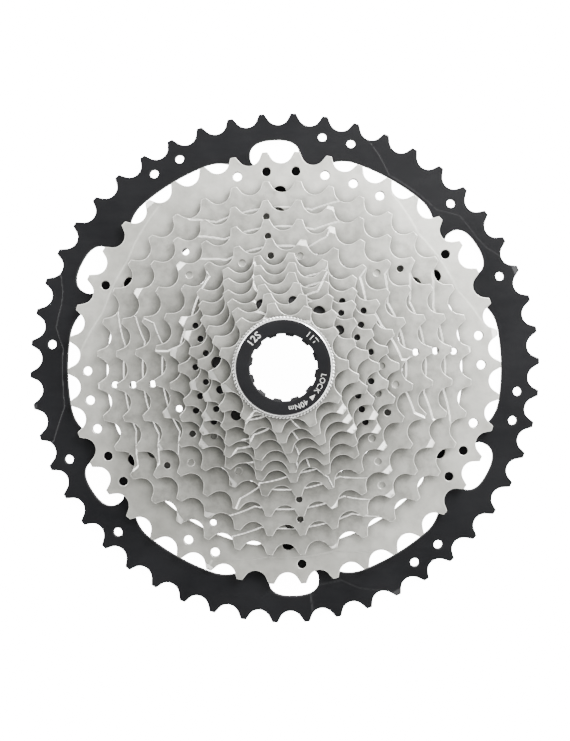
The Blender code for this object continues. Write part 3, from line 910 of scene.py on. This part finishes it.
# ---------------------------------------------------------------- washer, serrated on its edge and face
low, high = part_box("lock_washer")
low, high = low.z * 1000, high.z * 1000
serrations = 90


def saw(t):
    return np.abs(((t * serrations / (2 * np.pi)) % 1.0) - 0.5) * 2


rings = [(15.5, low + 0.1), (15.6, low), (18.0, low), lambda t: (18.3 - 0.40 * saw(t), low + 0.12),
         lambda t: (18.3 - 0.40 * saw(t), high - 0.25), lambda t: (18.0 - 0.2 * saw(t), high - 0.02 - 0.20 * saw(t)),
         lambda t: (17.4, high - 0.16 * saw(t)), lambda t: (16.6, high - 0.16 * saw(t)), (16.3, high), (15.6, high), (15.5, high - 0.1)]
piece = lathe("serrated_washer", rings, 720, 30.0)
show(piece, "lock_washer", BODY["lock_washer"], turned_steel("washer_steel", 0.7, 1500.0, tone=(0.50, 0.50, 0.485), rough=0.34), "bright_steel")

# ---------------------------------------------------------------- lockring
low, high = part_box("lockring")
low, high = low.z * 1000, high.z * 1000
face = high - 0.012
under = high - 1.65
NOTCHES, BORE_R, NOTCH_R = 12, 11.35, 12.1
THREAD_TPI = 24.0
thread_pitch = 25.4 / THREAD_TPI


def notch(t, extra=0.0):
    d = (np.degrees(t) - 4.5 + 15.0) % 30.0 - 15.0
    return BORE_R + (NOTCH_R - BORE_R) * smooth((8.6 - np.abs(d)) / 1.8) + extra


rings = []
rings += [(12.12, face - 0.12), (12.26, face - 0.02), (12.45, face), (14.0, face), (15.4, face), (16.62, face), (16.74, face - 0.03)]
rings += [(17.0, face - 0.10), (17.30, face - 0.32), (17.4, face - 0.48), (17.4, under + 0.12), (17.28, under), (15.6, under)]
rings = rings[::-1]
sleeve_low = low
steps = int((under - low - 0.5) / 0.13)
body_rings = []
for i in range(steps + 1):
    z = low + 0.45 + (under - 0.35 - low - 0.45) * i / steps

    def wave(t, z=z):
        phase = (z / thread_pitch - t / (2 * np.pi)) % 1.0
        tri = np.abs(phase - 0.5) * 2
        fade = min(1.0, (z - low - 0.3) / 0.9) if z < low + 1.2 else 1.0
        return 15.2 - 0.58 * np.clip(1.15 * tri - 0.08, 0, 1) * fade, z
    body_rings.append(wave)
inner = [lambda t: (notch(t), low + 0.25), lambda t: (notch(t), low + 2.0), lambda t: (notch(t), face - 1.35), lambda t: (0.35 * notch(t) + 0.65 * NOTCH_R, face - 0.95),
         (NOTCH_R, face - 0.85)]
loop = [(14.5, low)] + body_rings + [(14.75, under - 0.2)] + rings + inner[::-1] + [lambda t: (notch(t, 0.2), low)]
piece = lathe("lockring_turned", loop, 720, 30.0)
bright = turned_steel("lockring_rim_steel", 0.9, 1900.0, tone=(0.74, 0.74, 0.73), rough=0.22)
black = black_anodised("lockring_black", 0.5, 1.0, 0.46)
show(piece, "lockring", BODY["lockring"], [black, bright], "black_lockring")
centre = np.array([list(p.center) for p in piece.data.polygons]) * 1000
r = np.hypot(centre[:, 0], centre[:, 1])
rim = (r > 16.76) & (centre[:, 2] > under - 0.05)
piece.data.polygons.foreach_set("material_index", rim.astype(np.int32))


# ---------------------------------------------------------------- generic printed marks on the lockring
def mark(name, text, size, radius, degrees, z, bold):
    """Text set round the ring, tops outwards, as a thin printed layer."""
    curve = bpy.data.curves.new(name, "FONT")
    curve.body = text
    curve.size = size
    curve.align_x = "CENTER"
    curve.align_y = "CENTER"
    curve.resolution_u = 4
    curve.offset = bold
    curve.space_character = 1.06
    temp = bpy.data.objects.new(name, curve)
    bpy.context.scene.collection.objects.link(temp)
    bpy.context.view_layer.update()
    mesh = bpy.data.meshes.new_from_object(temp.evaluated_get(bpy.context.evaluated_depsgraph_get()))
    bpy.data.objects.remove(temp, do_unlink=True)
    for v in mesh.vertices:
        a = math.radians(degrees) - v.co.x / radius
        rr = radius + v.co.y
        v.co = (rr * math.cos(a) / 1000, rr * math.sin(a) / 1000, z / 1000)
    mesh.update()
    obj = bpy.data.objects.new(name, mesh)
    bpy.context.scene.collection.objects.link(obj)
    return obj


ink = paint("white_print", 0.3)
mark_z = high - 0.002
for name, text, size, radius, degrees, bold in (("print_speeds", "12S", 3.6, 14.35, 136.5, 0.03), ("print_teeth", "11T", 3.0, 14.4, 46.0, -0.01),
                                                ("print_lock", "LOCK", 2.65, 14.35, 336.5, -0.015), ("print_torque", "40Nm", 2.75, 14.6, 291.0, -0.01)):
    piece = mark(name, text, size, radius, degrees, mark_z, bold)
    show(piece, None, "lockring", ink, "black_lockring")

# arrow that shows which way the ring is turned
arrow = [polar(14.7 + y, 315.0 - math.degrees(x / 14.7)) for x, y in ((-1.15, 0.0), (1.0, -0.85), (1.0, 0.85))]
mesh = bpy.data.meshes.new("print_arrow")
mesh.from_pydata([(x / 1000, y / 1000, mark_z / 1000) for x, y in arrow], [], [(0, 1, 2)])
if mesh.polygons[0].normal.z < 0:
    mesh.flip_normals()
piece = bpy.data.objects.new("print_arrow", mesh)
bpy.context.scene.collection.objects.link(piece)
show(piece, None, "lockring", ink, "black_lockring")

# ---------------------------------------------------------------- floor, light, camera
mesh = bpy.data.meshes.new("floor")
mesh.from_pydata([(-1.6, -1.6, 0), (1.6, -1.6, 0), (1.6, 1.6, 0), (-1.6, 1.6, 0)], [], [(0, 1, 2, 3)])
floor = bpy.data.objects.new("floor", mesh)
floor.location = (0, 0, -0.0006)
bpy.context.scene.collection.objects.link(floor)
white = bpy.data.materials.new("pale_floor")
white.use_nodes = True
shader = white.node_tree.nodes["Principled BSDF"]
shader.inputs["Base Color"].default_value = (0.9, 0.9, 0.9, 1)
shader.inputs["Roughness"].default_value = 0.9
shader.inputs["Specular IOR Level"].default_value = 0.0
shader.inputs["Emission Color"].default_value = (1, 1, 1, 1)
shader.inputs["Emission Strength"].default_value = 15.0
# seen from underneath, the floor is clear
clear = white.node_tree.nodes.new("ShaderNodeBsdfTransparent")
side_of = white.node_tree.nodes.new("ShaderNodeNewGeometry")
either = white.node_tree.nodes.new("ShaderNodeMixShader")
white.node_tree.links.new(side_of.outputs["Backfacing"], either.inputs[0])
white.node_tree.links.new(shader.outputs[0], either.inputs[1])
white.node_tree.links.new(clear.outputs[0], either.inputs[2])
white.node_tree.links.new(either.outputs[0], white.node_tree.nodes["Material Output"].inputs["Surface"])
mesh.materials.append(white)
floor.visible_glossy = False
floor.visible_diffuse = False
floor.visible_shadow = False

world = bpy.data.worlds.new("studio")
bpy.context.scene.world = world
world.use_nodes = True
tree = world.node_tree
back = tree.nodes["Background"]
coord = tree.nodes.new("ShaderNodeTexCoord")
split = tree.nodes.new("ShaderNodeSeparateXYZ")
tree.links.new(coord.outputs["Generated"], split.inputs[0])


ZENITH, RING, STRIP = 0.42, 3.5, 3.4


def wmath(kind, a, b):
    n = tree.nodes.new("ShaderNodeMath")
    n.operation = kind
    for s, v in ((0, a), (1, b)):
        if isinstance(v, (int, float)):
            n.inputs[s].default_value = v
        else:
            tree.links.new(v, n.inputs[s])
    return n.outputs[0]


# overhead: a weak wash; lower down: a bright band all round, strongest on the upper right
def wrange(value, a, b, c, d):
    n = tree.nodes.new("ShaderNodeMapRange")
    n.interpolation_type = "SMOOTHSTEP"
    for key, v in (("From Min", a), ("From Max", b), ("To Min", c), ("To Max", d)):
        n.inputs[key].default_value = v
    tree.links.new(value, n.inputs["Value"])
    return n.outputs["Result"]


x, y, z = split.outputs[0], split.outputs[1], split.outputs[2]
side = wmath("ADD", wmath("MULTIPLY", x, 0.62), wmath("MULTIPLY", y, 0.52))
over = wmath("MAXIMUM", wmath("MULTIPLY", ZENITH, wmath("ADD", 1.0, wmath("MULTIPLY", side, 2.6))), 0.05)
band = wmath("MULTIPLY", wrange(z, 0.08, 0.22, 0.05, 1.0), wrange(z, 0.50, 0.86, 1.0, 0.0))
ring = wmath("MULTIPLY", RING, wmath("MAXIMUM", wmath("ADD", 0.60, side), 0.20))
strip = wmath("MULTIPLY", wrange(z, -0.02, 0.04, 0.05, STRIP), wrange(z, 0.18, 0.36, 1.0, 0.0))
strength = wmath("ADD", wmath("MULTIPLY", over, wrange(z, 0.10, 0.5, 0.05, 1.0)), wmath("MULTIPLY", band, ring))
# the strip is strongest on the lower left
far = wmath("MINIMUM", wmath("MAXIMUM", wmath("ADD", 1.0, wmath("ADD", wmath("MULTIPLY", x, -0.95), wmath("MULTIPLY", y, -0.55))), 0.55), 2.2)
strength = wmath("ADD", strength, wmath("MULTIPLY", strip, far))
# a soft card far below, and a plain white backdrop behind everything
strength = wmath("ADD", strength, wrange(wmath("MULTIPLY", z, -1.0), 0.35, 0.75, 0.0, 1.1))
path = tree.nodes.new("ShaderNodeLightPath")
direct = path.outputs["Is Camera Ray"]
strength = wmath("ADD", wmath("MULTIPLY", strength, wmath("SUBTRACT", 1.0, direct)), wmath("MULTIPLY", direct, 15.0))
back.inputs["Color"].default_value = (1.0, 1.0, 0.985, 1)
tree.links.new(strength, back.inputs["Strength"])


def area(name, power, size, place, aim=(0, 0, 0)):
    light = bpy.data.lights.new(name, "AREA")
    light.energy = power
    light.shape = "RECTANGLE"
    light.size, light.size_y = size
    obj = bpy.data.objects.new(name, light)
    from mathutils import Vector
    obj.location = place
    obj.rotation_euler = (Vector(place) - Vector(aim)).to_track_quat("Z", "Y").to_euler()
    bpy.context.scene.collection.objects.link(obj)
    return obj


area("key_softbox", 3.6, (0.20, 0.20), (0.25, 0.29, 0.31))
area("card_left", 1.2, (0.2, 0.2), (-0.36, 0.24, 0.30))
area("card_right", 0.5, (0.2, 0.2), (0.36, -0.30, 0.30))

camera_data = bpy.data.cameras.new("camera")
camera_data.lens = 43.486
camera_data.sensor_width = 36.0
camera_data.clip_start = 0.01
camera = bpy.data.objects.new("camera", camera_data)
bpy.context.scene.collection.objects.link(camera)
tilt, pan = math.radians(-0.105), math.radians(-0.305)
rx = Matrix(((1, 0, 0), (0, math.cos(tilt), -math.sin(tilt)), (0, math.sin(tilt), math.cos(tilt))))
ry = Matrix(((math.cos(pan), 0, math.sin(pan)), (0, 1, 0), (-math.sin(pan), 0, math.cos(pan))))
turn = (ry @ rx).transposed()
camera.matrix_world = Matrix.Translation((0.00219, -0.00170, 0.3599)) @ turn.to_4x4()
bpy.context.scene.camera = camera
